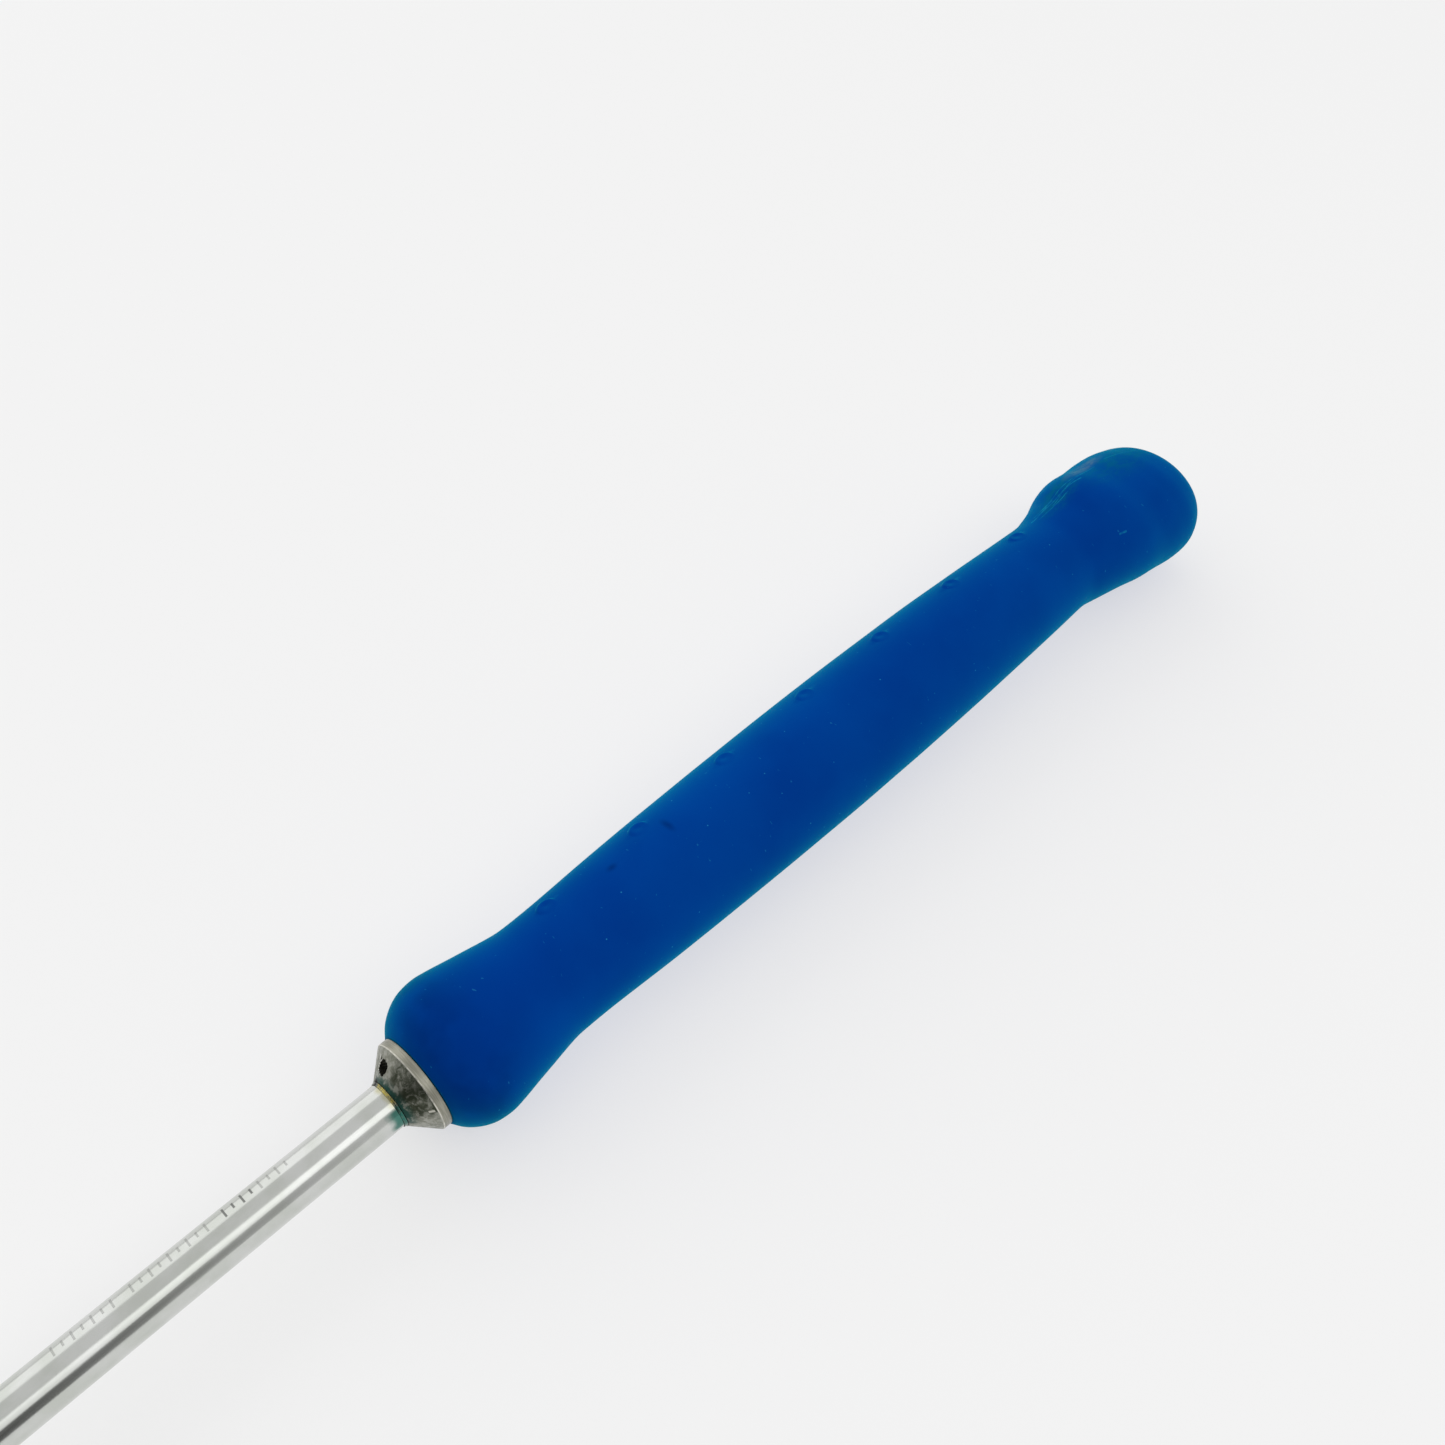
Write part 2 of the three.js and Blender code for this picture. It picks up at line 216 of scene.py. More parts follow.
def as_object(name, bm):
    """An object in its place in the CAD model's frame, from a mesh drawn in millimetres."""
    bmesh.ops.remove_doubles(bm, verts=bm.verts, dist=1e-5)
    bm.transform(PLACE @ Matrix.Scale(MM, 4))
    mesh = bpy.data.meshes.new(name)
    bm.to_mesh(mesh)
    bm.free()
    piece = bpy.data.objects.new(name, mesh)
    bpy.context.scene.collection.objects.link(piece)
    return piece


def placed(name, bm, material, nodes, sharp_angle=SHARP_ANGLE):
    """Puts a mesh drawn in millimetres in its place, to stand for the named CAD nodes."""
    piece = as_object(name, bm)
    piece.data.shade_smooth()
    piece.data.set_sharp_from_angle(angle=math.radians(sharp_angle))
    piece.data.materials.append(material)
    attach(piece, "root")
    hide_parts(*nodes)
    return piece


def rounded(corners, radius, steps=4, closed=True):
    """Rounds every corner of an outline of (x, radius) points; an open outline keeps its two ends."""
    points = []
    count = len(corners)
    for i, corner in enumerate(corners):
        if not closed and i in (0, count - 1):
            points.append(corner)
            continue
        before, here, after = (Vector(corners[k % count]) for k in (i - 1, i, i + 1))
        to_before = (before - here).normalized()
        to_after = (after - here).normalized()
        half = math.acos(max(-1, min(1, to_before.dot(to_after)))) / 2
        reach = min(radius / math.tan(half), (before - here).length / 2, (after - here).length / 2)
        start, end = here + to_before * reach, here + to_after * reach
        for k in range(steps + 1):
            t = k / steps
            points.append(tuple(start * (1 - t) ** 2 + here * 2 * t * (1 - t) + end * t**2))
    return points


# ---------------------------------------------------------------- node helpers
class Nodes:
    """Adds nodes to a material's or a world's tree, one call for each."""

    def __init__(self, tree):
        self.tree = tree

    def feed(self, socket, value):
        if isinstance(value, bpy.types.NodeSocket):
            self.tree.links.new(value, socket)
        else:
            socket.default_value = value

    def add(self, kind, **inputs):
        node = self.tree.nodes.new(kind)
        for key, value in inputs.items():
            self.feed(node.inputs[key], value)
        return node

    def math(self, operation, *values):
        node = self.tree.nodes.new("ShaderNodeMath")
        node.operation = operation
        for socket, value in zip(node.inputs, values):
            self.feed(socket, value)
        return node.outputs[0]

    def vector(self, operation, *values):
        node = self.tree.nodes.new("ShaderNodeVectorMath")
        node.operation = operation
        for socket, value in zip(node.inputs, values):
            self.feed(socket, value)
        return node.outputs["Value" if operation in ("DOT_PRODUCT", "LENGTH") else "Vector"]

    def split(self, vector):
        return self.add("ShaderNodeSeparateXYZ", Vector=vector).outputs

    def step(self, value, low, high, out_low=0.0, out_high=1.0):
        """Goes smoothly from out_low to out_high as the value goes from low to high."""
        node = self.tree.nodes.new("ShaderNodeMapRange")
        node.interpolation_type = "SMOOTHSTEP"
        for socket, given in zip(node.inputs, (value, low, high, out_low, out_high)):
            self.feed(socket, given)
        return node.outputs["Result"]

    def between(self, value, low, high, soft):
        """1 between two values, fading to 0 over the given width outside them."""
        rise = self.step(value, low - soft, low)
        return self.math("MULTIPLY", rise, self.step(value, high, high + soft, 1.0, 0.0))

    def product(self, *values):
        result = values[0]
        for value in values[1:]:
            result = self.math("MULTIPLY", result, value)
        return result

    def most(self, *values):
        result = values[0]
        for value in values[1:]:
            result = self.math("MAXIMUM", result, value)
        return result


class Material(Nodes):
    """A material whose patterns lie in the instrument's own frame."""

    def __init__(self, name):
        self.material = bpy.data.materials.new(name)
        self.material.use_nodes = True
        super().__init__(self.material.node_tree)
        self.surface = self.tree.nodes["Principled BSDF"]
        to_axis = PLACE.inverted()
        mapping = self.tree.nodes.new("ShaderNodeMapping")
        mapping.inputs["Location"].default_value = to_axis.translation
        mapping.inputs["Rotation"].default_value = to_axis.to_euler()
        self.feed(mapping.inputs["Vector"], self.add("ShaderNodeTexCoord").outputs["Object"])
        self.coords = self.vector("SCALE", mapping.outputs["Vector"])
        self.coords.node.inputs["Scale"].default_value = 1 / MM
        self.x, self.y, self.z = self.split(self.coords)
        turn = self.math("ARCTAN2", self.math("MULTIPLY", self.y, -1.0), self.z)
        self.turn = self.math("DEGREES", turn)
        unrolled = self.add("ShaderNodeCombineXYZ", X=self.x, Y=self.math("MULTIPLY", turn, GRIP_ROUND))
        self.unrolled = unrolled.outputs["Vector"]

    def set(self, **inputs):
        """Sets the surface's sockets, with _ for a space in their names."""
        for key, value in inputs.items():
            self.feed(self.surface.inputs[key.replace("_", " ")], value)

    def noise(self, size, detail=2.0, rough=0.5, stretched=(1, 1, 1), warp=0.0):
        """Noise whose features are about that many millimetres across."""
        node = self.add("ShaderNodeTexNoise", Vector=self.vector("MULTIPLY", self.coords, stretched))
        node.inputs["Scale"].default_value = 1 / size
        node.inputs["Detail"].default_value = detail
        node.inputs["Roughness"].default_value = rough
        node.inputs["Distortion"].default_value = warp
        return node.outputs["Fac"]

    def blend(self, share, a, b):
        """Mixes two colours."""
        node = self.tree.nodes.new("ShaderNodeMix")
        node.data_type = "RGBA"
        self.feed(node.inputs["Factor"], share)
        for socket, colour in zip([s for s in node.inputs if s.type == "RGBA"], (a, b)):
            self.feed(socket, colour if isinstance(colour, bpy.types.NodeSocket) else (*colour, 1))
        return [s for s in node.outputs if s.type == "RGBA"][0]

    def bump(self, height, distance, strength=1.0):
        node = self.add("ShaderNodeBump", Height=height, Distance=distance * MM, Strength=strength)
        self.feed(self.surface.inputs["Normal"], node.outputs["Normal"])

    def unrolled_place(self, back, degrees):
        """A place given as the distance back and the angle, on the grip's skin laid out flat."""
        return Vector((-back, math.radians(degrees) * GRIP_ROUND, 0))

    def spot(self, back, degrees, length, width, soft=0.7):
        """1 inside an oval on the skin, of that half-length and half-width, fading to 0 at its edge."""
        away = self.vector("SUBTRACT", self.unrolled, self.unrolled_place(back, degrees))
        away = self.vector("MULTIPLY", away, (1 / length, 1 / width, 0))
        return self.step(self.vector("LENGTH", away), 1 - soft, 1, 1.0, 0.0)

    def stroke(self, start, end, width):
        """1 along a straight scratch between two (back, degrees) places, fading to 0 across its width."""
        start, end = self.unrolled_place(*start), self.unrolled_place(*end)
        along = end - start
        away = self.vector("SUBTRACT", self.unrolled, start)
        share = self.math("DIVIDE", self.vector("DOT_PRODUCT", away, along), along.length_squared)
        share = self.math("MINIMUM", self.math("MAXIMUM", share, 0.0), 1.0)
        foot = self.vector("SCALE", along)
        self.feed(foot.node.inputs["Scale"], share)
        distance = self.vector("LENGTH", self.vector("SUBTRACT", away, foot))
        return self.step(distance, width * 0.2, width, 1.0, 0.0)


# ---------------------------------------------------------------- materials
def silicone():
    s = Material("blue_silicone")
    deep, pale = (0.0003, 0.044, 0.32), (0.0003, 0.056, 0.355)
    colour = s.blend(s.step(s.noise(20, 3, 0.55), 0.35, 0.68), deep, pale)
    # darker towards the collar, in uneven patches
    patches = s.step(s.noise(9, 3), 0.35, 0.6, 0.35, 1)
    nose = s.math("MULTIPLY", s.step(s.x, -17, -3, 0, 0.55), patches)
    colour = s.blend(nose, colour, (0.0003, 0.012, 0.14))
    # lint and dust
    specks = s.add("ShaderNodeTexVoronoi", Vector=s.coords, Scale=1 / 1.9)
    speck = s.product(
        s.step(specks.outputs["Distance"], 0.03, 0.07, 1.0, 0.0),
        s.step(s.split(specks.outputs["Color"])[0], 0.6, 0.8),
    )
    hairs = s.step(s.noise(0.45, 1, 0.5, (1, 0.45, 0.45), 0.4), 0.76, 0.8, 0, 0.4)
    colour = s.blend(s.most(speck, hairs), colour, (0.02, 0.22, 0.5))
    # teal and greyish patches on the end, broken up by noise
    patchy_mask = s.step(s.noise(1.1, 5, 0.7, (0.6, 1, 1)), 0.4, 0.6, 0.3, 1)
    teal = s.most(s.spot(138, 31, 7, 4), s.math("MULTIPLY", s.spot(151, 15, 13, 6, 1), 0.9))
    colour = s.blend(s.product(teal, patchy_mask, 0.75), colour, (0.001, 0.105, 0.23))
    grey = s.math("MULTIPLY", s.spot(146.5, 34, 6, 2.0), patchy_mask)
    colour = s.blend(s.math("MULTIPLY", grey, 0.9), colour, (0.07, 0.12, 0.31))
    scratches = [
        ((133.5, 36), (142.5, 20), 0.16), ((134.5, 38), (144, 24), 0.12), ((132.5, 30), (139, 21), 0.12),
        ((131.5, 36), (135.5, 34), 0.2), ((126.9, 37), (128.2, 33), 0.22), ((136, 27), (147, 23), 0.1),
        ((150, 24), (156, 12), 0.08), ((139.2, -45.5), (140.3, -46.6), 0.26), ((133, 40), (137, 33), 0.14),
    ]
    lines = [s.stroke(*scratch) for scratch in scratches]
    colour = s.blend(s.product(s.most(*lines), patchy_mask, 0.8), colour, (0.01, 0.25, 0.48))
    # two darker spots near the studs
    dark_spots = s.most(s.spot(45.9, 9, 0.8, 2.2, 1), s.spot(36.1, 12, 1.2, 0.9, 1))
    colour = s.blend(s.math("MULTIPLY", dark_spots, 0.7), colour, (0.0003, 0.02, 0.18))
    s.set(Base_Color=colour)
    s.set(Roughness=s.step(s.noise(1.6, 4, 0.6), 0.3, 0.7, 0.4, 0.52))
    s.set(Specular_IOR_Level=0.001, Specular_Tint=(0.1, 0.5, 1, 1))
    s.set(Sheen_Weight=1.0, Sheen_Roughness=0.42, Sheen_Tint=(0.0, 0.36, 0.25, 1))
    s.bump(s.noise(0.25, 2), 0.008)
    return s.material


def polished_steel():
    s = Material("polished_steel")
    streaks = s.noise(0.3, 4, 0.6, (0.02, 1, 1))
    colour = s.blend(s.step(s.noise(5, 3, 0.55), 0.3, 0.7), (0.58, 0.60, 0.56), (0.66, 0.67, 0.65))
    # heat colours beside the weld: straw on top, green on the side away from it
    wander = s.math("MULTIPLY", s.math("SUBTRACT", s.noise(1.2, 3), 0.5), 1.2)
    edge = s.math("ADD", s.x, wander)
    straw = s.product(s.between(s.turn, -32, 22, 14), s.step(edge, 3.4, 4.4, 1.0, 0.0))
    colour = s.blend(s.math("MULTIPLY", straw, 0.6), colour, (0.42, 0.38, 0.15))
    green = s.product(s.between(s.turn, -92, -48, 10), s.step(edge, 4.1, 5.4, 1.0, 0.0))
    colour = s.blend(s.math("MULTIPLY", green, 0.9), colour, (0.015, 0.17, 0.13))
    other = s.product(s.between(s.turn, 60, 180, 20), s.step(edge, 3.8, 5, 1.0, 0.0))
    colour = s.blend(s.math("MULTIPLY", other, 0.6), colour, (0.4, 0.36, 0.2))
    # laser ticks, long and short by turns
    beat = s.math("FRACT", s.math("DIVIDE", s.x, TICK_PITCH))
    tick = s.step(beat, 0.2, 0.24, 1.0, 0.0)
    tall = s.math("GREATER_THAN", s.math("FRACT", s.math("DIVIDE", s.x, 2 * TICK_PITCH)), 0.5)
    aside = s.math("ABSOLUTE", s.math("SUBTRACT", s.turn, TICK_TURN))
    reach = s.math("ADD", s.math("MULTIPLY", tall, 6.0), 10.0)
    inside = s.step(s.math("SUBTRACT", reach, aside), 0, 1.2)
    groups = s.most(*(s.between(s.x, start, end, TICK_EDGE) for start, end in TICK_GROUPS))
    strength = s.math("ADD", s.math("MULTIPLY", s.between(s.x, *TICK_DARKER, TICK_EDGE), 0.4), 0.32)
    etched = s.product(tick, inside, groups, strength)
    colour = s.blend(etched, colour, (0.05, 0.05, 0.05))
    s.set(Base_Color=colour)
    roughness = s.math("ADD", s.step(streaks, 0.3, 0.7, 0.13, 0.22), s.math("MULTIPLY", etched, 0.2))
    s.set(Metallic=1.0, Roughness=roughness)
    s.bump(streaks, 0.003)
    return s.material


def collar_steel():
    s = Material("collar_steel")
    grime = s.noise(0.9, 5, 0.7, warp=0.4)
    broad = s.noise(2.6, 3, 0.6)
    clean, dull, dark = (0.37, 0.37, 0.325), (0.21, 0.215, 0.175), (0.035, 0.042, 0.026)
    colour = s.blend(s.step(grime, 0.35, 0.62), clean, dull)
    # on the cone's near side, turn -66 to -4, darker in mottled patches: partly grime, partly a painted dark
    # reflection
    patches = s.math("MULTIPLY", s.step(broad, 0.3, 0.6, 0.5, 1.0), s.step(grime, 0.36, 0.56, 0.55, 1.0))
    colour = s.blend(s.math("MULTIPLY", s.between(s.turn, -66, -4, 20), patches), colour, dark)
    foot = s.product(s.step(s.x, 1.9, 2.9), s.step(grime, 0.34, 0.5, 0.3, 1.0), s.between(s.turn, -90, 42, 8))
    colour = s.blend(s.math("MULTIPLY", foot, 0.9), colour, (0.012, 0.06, 0.048))
    # the rim is turned smooth, and its front edge carries a painted highlight in stretches
    rim = s.step(s.x, -0.08, -0.02, 1.0, 0.0)
    lines = s.noise(0.16, 3, 0.6, (1, 0.05, 0.05))
    band = s.blend(s.step(lines, 0.35, 0.65), (0.27, 0.265, 0.215), (0.37, 0.36, 0.30))
    colour = s.blend(rim, colour, band)
    # painted highlight along the rim's front edge, broken into stretches by noise
    edge = s.product(s.between(s.x, -0.04, 0.05, 0.05), s.step(s.noise(0.9, 3), 0.35, 0.6, 0.35, 0.95))
    colour = s.blend(edge, colour, (0.74, 0.72, 0.64))
    # a knock near the rim, and the painted shade of a pit at the weld, nearly black with no hollow modelled
    knock = s.math("MULTIPLY", s.between(s.turn, -68.5, -66, 0.8), s.between(s.x, 0.32, 0.85, 0.06))
    colour = s.blend(knock, colour, (0.5, 0.49, 0.43))
    painted_pit_shade = s.math("MULTIPLY", s.between(s.turn, 37, 45, 4), s.step(s.x, 2.8, 2.95))
    colour = s.blend(painted_pit_shade, colour, (0.004, 0.004, 0.004))
    s.set(Base_Color=colour, Metallic=1.0)
    s.set(Roughness=s.step(grime, 0.3, 0.7, 0.28, 0.45))
    s.bump(s.math("ADD", grime, s.math("MULTIPLY", rim, lines)), 0.012)
    return s.material


def torn_steel():
    """The bright burr round the vent."""
    s = Material("torn_steel")
    grain = s.noise(0.2, 3)
    s.set(Base_Color=s.blend(s.step(grain, 0.35, 0.65), (0.6, 0.59, 0.54), (0.85, 0.84, 0.8)))
    s.set(Metallic=1.0, Roughness=s.step(grain, 0.3, 0.7, 0.25, 0.4))
    s.bump(grain, 0.01)
    return s.material


def weld_metal():
    s = Material("weld_metal")
    grime = s.noise(0.5, 4, 0.7)
    drift = s.math("ADD", s.turn, s.math("MULTIPLY", s.math("SUBTRACT", s.noise(1.4, 3), 0.5), 50.0))
    colour = s.blend(s.step(grime, 0.35, 0.6), (0.36, 0.36, 0.32), (0.16, 0.17, 0.14))
    gold = s.math("MULTIPLY", s.between(drift, -30, 18, 14), s.step(grime, 0.36, 0.6, 1.0, 0.25))
    colour = s.blend(gold, colour, (0.52, 0.42, 0.07))
    green = s.math("MULTIPLY", s.between(drift, -95, -48, 12), s.step(grime, 0.4, 0.65, 1.0, 0.5))
    colour = s.blend(green, colour, (0.01, 0.15, 0.12))
    colour = s.blend(s.between(drift, 100, 150, 20), colour, (0.3, 0.27, 0.14))
    # painted shade of the same pit, nearly black
    painted_pit_shade = s.between(s.turn, 37, 46, 4)
    colour = s.blend(painted_pit_shade, colour, (0.004, 0.004, 0.004))
    s.set(Base_Color=colour, Metallic=1.0)
    s.set(Roughness=s.step(grime, 0.3, 0.7, 0.2, 0.4))
    s.bump(s.noise(0.3, 3), 0.03)
    return s.material


def turned_steel(name, colour, size):
    """Plain steel with the fine rings that a lathe leaves."""
    s = Material(name)
    rings = s.noise(size, 3, 0.6, (1, 0.08, 0.08))
    darker = tuple(c * 0.75 for c in colour)
    s.set(Base_Color=s.blend(s.step(rings, 0.3, 0.7), darker, colour))
    s.set(Metallic=1.0, Roughness=s.step(rings, 0.3, 0.7, 0.3, 0.45))
    s.bump(rings, 0.006)
    return s.material


# ---------------------------------------------------------------- silicone grip
def grip_outline(side, station):
    """(back, radius) of the skin on the studs' side (1) or the far side (-1), at a station.

    Stations run 0 to 1 along the nose, 1 to 2 along the belly, and 2 to 4 from the rear neck to the axis.
    """
    if station <= 1:
        return spline_point(NOSE, station)
    if station <= 2:
        back, radius = spline_point(BELLY, station - 1)
        return back, radius - side * BOW * smoothstep(BOW_START, REAR_NECK, back)
    over = (station - 2) / 4
    back, radius = spline_point(CAP, over if side > 0 else 1 - over)
    return back, abs(radius)


def station_at(back):
    """The station on the belly that lies at that distance back."""
    low, high = 1.0, 2.0
    for _ in range(30):
        middle = (low + high) / 2
        if spline_point(BELLY, middle - 1)[0] < back:
            low = middle
        else:
            high = middle
    return low


def grip_stations():
    """Stations for the rings, close together over each stud."""
    nose, belly, end, apart = 40, 110, 60, 0.004
    fine = [station_at(stud + k * 0.1) for stud in STUDS for k in range(-16, 17)]
    coarse = [i / nose for i in range(nose + 1)] + [1 + i / belly for i in range(1, belly + 1)]
    coarse = [s for s in coarse if all(abs(s - f) > apart for f in fine)]
    return sorted(fine + coarse) + [2 + i / end for i in range(1, 2 * end)]


def eased_outline(side):
    """The outline at every station, smoothed beside the two necks, where the stretches meet."""
    points = [grip_outline(side, station) for station in grip_stations()]
    for _ in range(NECK_PASSES):
        passed = points[:]
        for j in range(1, len(points) - 1):
            away = min(abs(points[j][0] - neck) for neck in (FRONT_NECK, REAR_NECK))
            share = smoothstep(NECK_EASE, 0, away)
            beside = [(a + b) / 2 for a, b in zip(points[j - 1], points[j + 1])]
            passed[j] = tuple(mix(here, mean, share / 2) for here, mean in zip(points[j], beside))
        points = passed
    return points


GRIP_NEAR = eased_outline(1)
GRIP_FAR = eased_outline(-1)


def grip_angles():
    """Angles for the columns, close together along the row of studs."""
    reach, fine_count, coarse_count = math.radians(12), 34, 90
    fine = [ROLL - reach + 2 * reach * i / fine_count for i in range(fine_count)]
    rest = 2 * math.pi - 2 * reach
    return fine + [ROLL + reach + rest * i / coarse_count for i in range(coarse_count)]


def stud_height(distance, away):
    """A low round stud, dished in the middle, that stands highest on its -Y side."""
    q = distance / STUD_R
    dish = mix(0.4, 1, smoothstep(0, 0.75, q))
    lean = mix(0.12, 1, smoothstep(-0.9, 0.7, away / STUD_R))
    return STUD_HEIGHT * dish * lean * (1 - smoothstep(0.74, 1.2, q))


def build_grip():
    angles = grip_angles()
    rings = [[around(x, GRIP_BORE_R, a) for a in angles] for x in (-GRIP_BORE_REAR, -GRIP_FRONT)]
    for near, far in zip(GRIP_NEAR, GRIP_FAR):
        ring = []
        for angle in angles:
            share = (1 - math.cos(angle - ROLL)) / 2
            back, radius = mix(near[0], far[0], share), mix(near[1], far[1], share)
            radius += SWELL * noise.noise(around(-back, radius, angle) * SWELL_RATE) - SKIN_EASE
            back -= SKIN_EASE * smoothstep(REAR_NECK, GRIP_END, back)
            off = (angle - ROLL) * radius - STUD_OFF
            for stud in STUDS:
                distance = math.hypot(back - stud, off)
                if distance < STUD_REACH:
                    radius += stud_height(distance, off)
            ring.append(around(-back, radius, angle))
        rings.append(ring)
    bm = skinned(rings, closed_start=True, closed_end=True)
    grip = placed("grip_skin", bm, SILICONE, ["silicone_grip"], 60)
    for v in grip.data.vertices:  # the two flats that it rests on
        v.co.z = max(v.co.z, 0)
    return grip


# ---------------------------------------------------------------- metal pieces
def cutter(radius, length, ragged=0.0, steps=40):
    """A drill along Z whose wall may be a little ragged, as a mesh."""
    rings = []
    for z in (-length / 2, length / 2):
        ring = []
        for j in range(steps):
            angle = 2 * math.pi * j / steps
            r = radius + ragged * noise.noise(Vector((math.cos(angle), math.sin(angle), 0.3)) * 3.5)
            ring.append(Vector((r * math.cos(angle), r * math.sin(angle), z)))
        rings.append(ring)
    return skinned(rings, True, True)


def cut_away(piece, bm):
    """Cuts a mesh drawn in millimetres out of a piece."""
    tool = as_object("tool", bm)
    cut = piece.modifiers.new("cut", "BOOLEAN")
    cut.operation = "DIFFERENCE"
    cut.solver = "EXACT"
    cut.object = tool
    bpy.context.view_layer.update()
    shaped = bpy.data.meshes.new_from_object(piece.evaluated_get(bpy.context.evaluated_depsgraph_get()))
    piece.modifiers.clear()
    piece.data = shaped
    shaped.set_sharp_from_angle(angle=math.radians(SHARP_ANGLE))
    bpy.data.objects.remove(tool)


def vent_place():
    """The matrix to the vent's mouth, square to the cone."""
    lean = Matrix.Rotation(math.pi / 4, 4, "Y")
    return Matrix.Rotation(VENT_TURN, 4, "X") @ Matrix.Translation((VENT_X, 0, RIM_R - VENT_X)) @ lean


def build_collar():
    corners = [
        (SPIGOT_REAR, RELIEF_R), (SPIGOT_REAR, SPIGOT_R), (-RIM_LENGTH, SPIGOT_R), (-RIM_LENGTH, RIM_R),
        (0, RIM_R), (CONE_LENGTH, CONE_TIP_R), (CONE_LENGTH, SHAFT_R + GAP),
        (RELIEF_FRONT, SHAFT_R + GAP), (RELIEF_FRONT, RELIEF_R),
    ]
    collar = placed("collar", lathe(rounded(corners, 0.07), 180), COLLAR, ["front_collar"])
    drill = cutter(VENT_R, VENT_DEPTH, VENT_RAGGED)
    drill.transform(vent_place())
    cut_away(collar, drill)
    return collar


def add_shard(bm, start, end, width, height):
    """A thin torn splinter from one point of the vent's mouth to another."""
    start, end = Vector(start), Vector(end)
    side = (end - start).cross(Vector((0, 0, 1))).normalized() * width / 2
    middle = start.lerp(end, 0.4)
    up = Vector((0, 0, height))
    corners = [start, middle + side, end, middle - side, middle + up, middle - up]
    verts = [bm.verts.new(c) for c in corners]
    for a, b in ((0, 1), (1, 2), (2, 3), (3, 0)):
        bm.faces.new((verts[a], verts[b], verts[4]))
        bm.faces.new((verts[b], verts[a], verts[5]))


def build_burr():
    """Splinters along the torn side of the vent, drawn in the plane of its mouth, X down the cone."""
    bm = bmesh.new()
    add_shard(bm, (-0.35, -1.0, 0), (-1.35, -1.25, 0.03), 0.26, 0.09)
    for i in range(9):
        angle = math.radians(-150 + 17 * i + random.uniform(-5, 5))
        long = random.uniform(0.16, 0.34)
        edge = Vector((math.cos(angle), math.sin(angle), 0)) * (VENT_R + 0.03)
        inward = Vector((-math.cos(angle), -math.sin(angle), random.uniform(-0.1, 0.3))) * long
        add_shard(bm, edge, edge + inward, random.uniform(0.14, 0.26), 0.06)
    bmesh.ops.recalc_face_normals(bm, faces=bm.faces)
    bm.transform(vent_place())
    return placed("vent_burr", bm, TORN, [])


def build_weld():
    rear, bore = CONE_LENGTH + GAP, SHAFT_R + GAP
    corners = [
        (rear, bore), (rear, CONE_TIP_R - 0.05), (rear + 0.09, bore + 0.12),
        (rear + 0.19, bore + 0.05), (rear + 0.36, bore + 0.01), (rear + 0.36, bore),
    ]
    return placed("weld", lathe(corners, 160), WELD, ["weld_bead"])


def build_shaft():
    corners = [
        (SHAFT_TAIL, BAR_AXIS_R), (SHAFT_TAIL, SHAFT_R), (SHAFT_FRONT, SHAFT_R), (SHAFT_FRONT, TANG_R),
        (SHAFT_FRONT - TANG_DEPTH, TANG_R), (SHAFT_FRONT - TANG_DEPTH, BAR_AXIS_R),
    ]
    # with 146 sides, no long edge meets a corner of the drill
    bm = lathe(rounded(corners, 0.12, closed=False), 146, hollow=False)
    shaft = placed("shaft_bar", bm, POLISHED, ["shaft"])
    drill = cutter(TIP_PIN_R + TIP_PIN_GAP, 3 * SHAFT_R)
    drill.transform(Matrix.Translation((TIP_PIN_X, 0, 0)) @ Matrix.Rotation(math.pi / 2, 4, "X"))
    cut_away(shaft, drill)
    return shaft


def build_tip_pin():
    """A ground pin across the joint, with rounded ends just below the shaft's skin."""
    half = SHAFT_R - 0.05
    corners = [(-half, 0.05), (-half, TIP_PIN_R), (half, TIP_PIN_R), (half, 0.05)]
    bm = lathe(rounded(corners, 0.12, closed=False), 48, hollow=False)
    bm.transform(Matrix.Translation((TIP_PIN_X, 0, 0)) @ Matrix.Rotation(math.pi / 2, 4, "Z"))
    return placed("tip_joint_pin", bm, PIN, ["tip_pin"])


def tip_section(line, i, sides=48):
    """The section at a place along the tip: round on the shank, three-sided on the blade."""
    x, z, width, thick = line[i]
    before, after = line[max(i - 1, 0)], line[min(i + 1, len(line) - 1)]
    along = Vector((after[0] - before[0], 0, after[1] - before[1])).normalized()
    out = Vector((-along.z, 0, along.x))  # the blade's flat face looks this way
    share = smoothstep(BLADE_START * TIP_STEPS, (BLADE_START + 3) * TIP_STEPS, i)
    ring = []
    for j in range(sides):
        angle = 2 * math.pi * j / sides
        round_one = (math.cos(angle), math.sin(angle))
        # a rounded triangle with one side across the top, from its polar form
        reach = 0.62 / math.cos((angle - math.pi / 2 + math.pi / 3) % (2 * math.pi / 3) - math.pi / 3)
        keen = (reach * math.cos(angle), reach * math.sin(angle))
        u, v = (mix(a, b, share) for a, b in zip(round_one, keen))
        ring.append(Vector((x, 0, z)) + Vector((0, 1, 0)) * u * width + out * v * thick)
    return ring


def build_tip():
    """The working end: a taper from the shaft, a bent shank and a hooked blade with a point."""
    seat = SHAFT_FRONT + GAP
    outline = [(SHAFT_FRONT - TANG_DEPTH + GAP, 0.6), (SHAFT_FRONT - TANG_DEPTH + GAP, TANG_R - GAP)]
    outline += [(seat, TANG_R - GAP), (seat, SHAFT_R)]
    outline += [spline_point(SHOULDER, i / 16) for i in range(17)]
    root = lathe(rounded(outline[:4], 0.08, closed=False)[:-1] + outline[3:], 96, hollow=False)
    count = (len(TIP_LINE) - 1) * TIP_STEPS
    line = [spline_point(TIP_LINE, i / count) for i in range(count + 1)]
    bend = skinned([tip_section(line, i) for i in range(count + 1)], True, True)
    root.transform(Matrix.Rotation(ROLL, 4, "X"))
    bend.transform(Matrix.Rotation(ROLL, 4, "X"))
    placed("tip_root", root, POLISHED, ["scaler_tip"])
    placed("tip_blade", bend, POLISHED, [], 30)


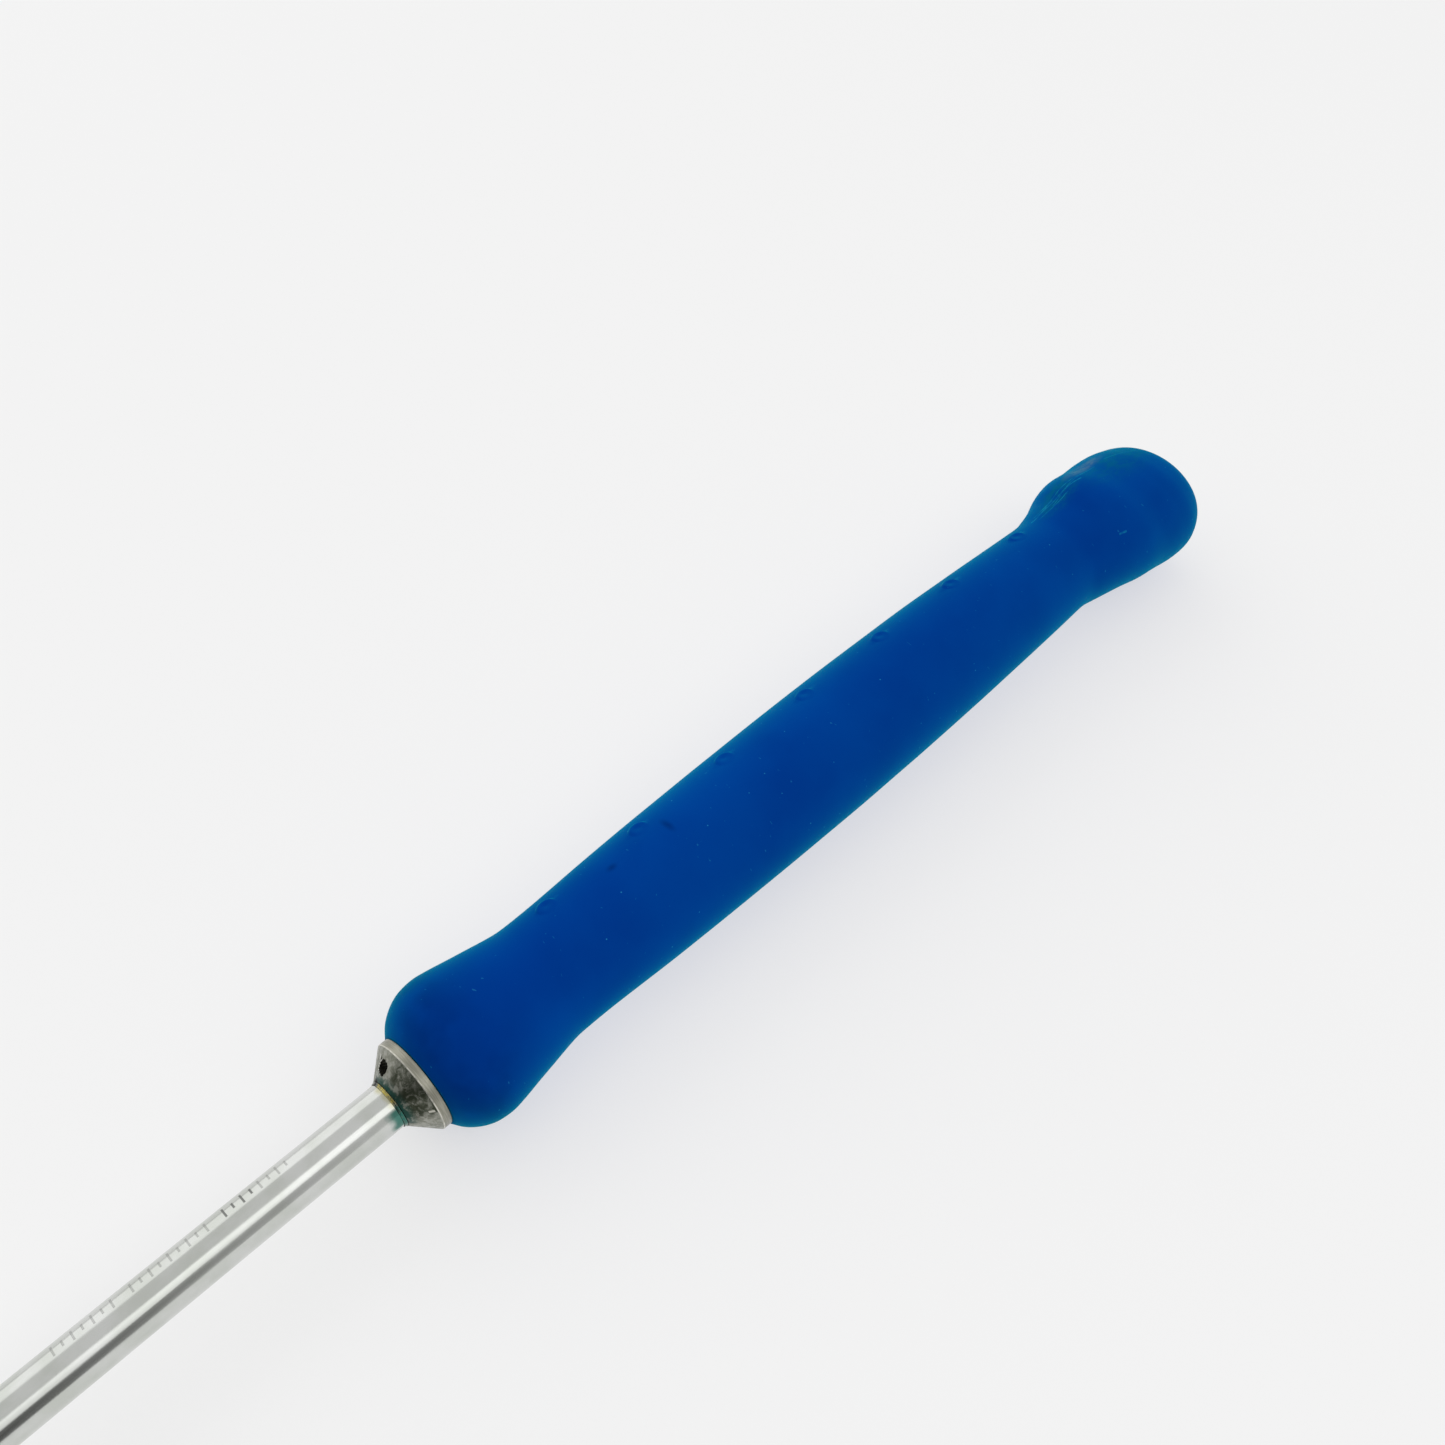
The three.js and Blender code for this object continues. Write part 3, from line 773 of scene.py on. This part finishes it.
SILICONE = silicone()
POLISHED = polished_steel()
COLLAR = collar_steel()
TORN = torn_steel()
WELD = weld_metal()
MILL = turned_steel("mill_steel", (0.45, 0.46, 0.46), 0.5)
PIN = turned_steel("pin_steel", (0.52, 0.53, 0.51), 0.3)

build_grip()
build_collar()
build_burr()
build_weld()
build_shaft()
build_tip_pin()
build_tip()
for node in ("core_tube", "rear_plug", "tail_bush"):
    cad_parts[node].material_slots[0].material = MILL
for node in ("collar_pin", "tail_pin"):
    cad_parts[node].material_slots[0].material = PIN


# ---------------------------------------------------------------- studio
FLOOR_GLOW = 0.575
FLOOR_SIZE = 6
ROOM = 0.74  # the brightness of the even room
UNLIT = 0.05
UNLIT_SIDE = Vector((0.69, 0.69, 0.22)).normalized()
UNLIT_CORE = math.radians(28)  # how far from that direction the room starts and finishes brightening
UNLIT_EDGE = math.radians(62)
# name, place, width, height, brightness
SOFTBOXES = [
    ("near_softbox", (0, 0.616, 0.788), 1.6, 0.5, 0.75),
    ("far_softbox", (0, -0.848, 0.53), 1.6, 0.85, 0.45),
]
CAMERA_PLACE = (30.12, 84.78, 166.83)
CAMERA_TILT = math.radians(49.89)
CAMERA_HEADING = math.radians(44.92)


def build_floor():
    """A plain pale light table, the same all over."""
    bpy.ops.mesh.primitive_plane_add(size=FLOOR_SIZE, location=(0, 0, 0))
    floor = bpy.context.object
    floor.name = "floor"
    s = Material("pale_table")
    s.set(Base_Color=(0.4, 0.4, 0.4, 1), Roughness=0.9, Specular_IOR_Level=0.0)
    s.set(Emission_Color=(1, 1, 1, 1), Emission_Strength=FLOOR_GLOW)
    floor.data.materials.append(s.material)


def build_world():
    """An even white room that fades to dark on the near side, where nothing is lit."""
    world = bpy.data.worlds.new("studio")
    bpy.context.scene.world = world
    world.use_nodes = True
    s = Nodes(world.node_tree)
    direction = s.add("ShaderNodeTexCoord").outputs["Generated"]
    away = s.math("ARCCOSINE", s.vector("DOT_PRODUCT", direction, UNLIT_SIDE))
    background = s.tree.nodes["Background"]
    s.feed(background.inputs["Strength"], s.step(away, UNLIT_CORE, UNLIT_EDGE, UNLIT, ROOM))
    background.inputs["Color"].default_value = (1, 1, 1, 1)


def add_softbox(name, place, width, height, brightness):
    """A plain rectangular softbox that faces the object."""
    light = bpy.data.lights.new(name, "AREA")
    light.shape = "RECTANGLE"
    light.size, light.size_y = width, height
    light.energy = brightness * math.pi * width * height
    lamp = bpy.data.objects.new(name, light)
    lamp.location = place
    lamp.rotation_euler = lamp.location.to_track_quat("Z", "Y").to_euler()
    bpy.context.scene.collection.objects.link(lamp)


def build_camera():
    """At the photograph's place: above the shaft's right-hand side, looking back along the handle."""
    level = Vector((-math.cos(CAMERA_HEADING), -math.sin(CAMERA_HEADING), 0))
    right = Vector((-math.sin(CAMERA_HEADING), math.cos(CAMERA_HEADING), 0))
    ahead = level * math.cos(CAMERA_TILT) - Vector((0, 0, 1)) * math.sin(CAMERA_TILT)
    up = right.cross(ahead)
    data = bpy.data.cameras.new("camera")
    data.lens = 36
    data.sensor_width = 36
    data.clip_start = 0.005
    camera = bpy.data.objects.new("camera", data)
    bpy.context.scene.collection.objects.link(camera)
    axes = Matrix((right, up, -ahead)).transposed().to_4x4()
    camera.matrix_world = PLACE @ Matrix.Translation(Vector(CAMERA_PLACE) * MM) @ axes
    bpy.context.scene.camera = camera


build_floor()
build_world()
for softbox in SOFTBOXES:
    add_softbox(*softbox)
build_camera()
bpy.context.scene.view_settings.view_transform = "Standard"
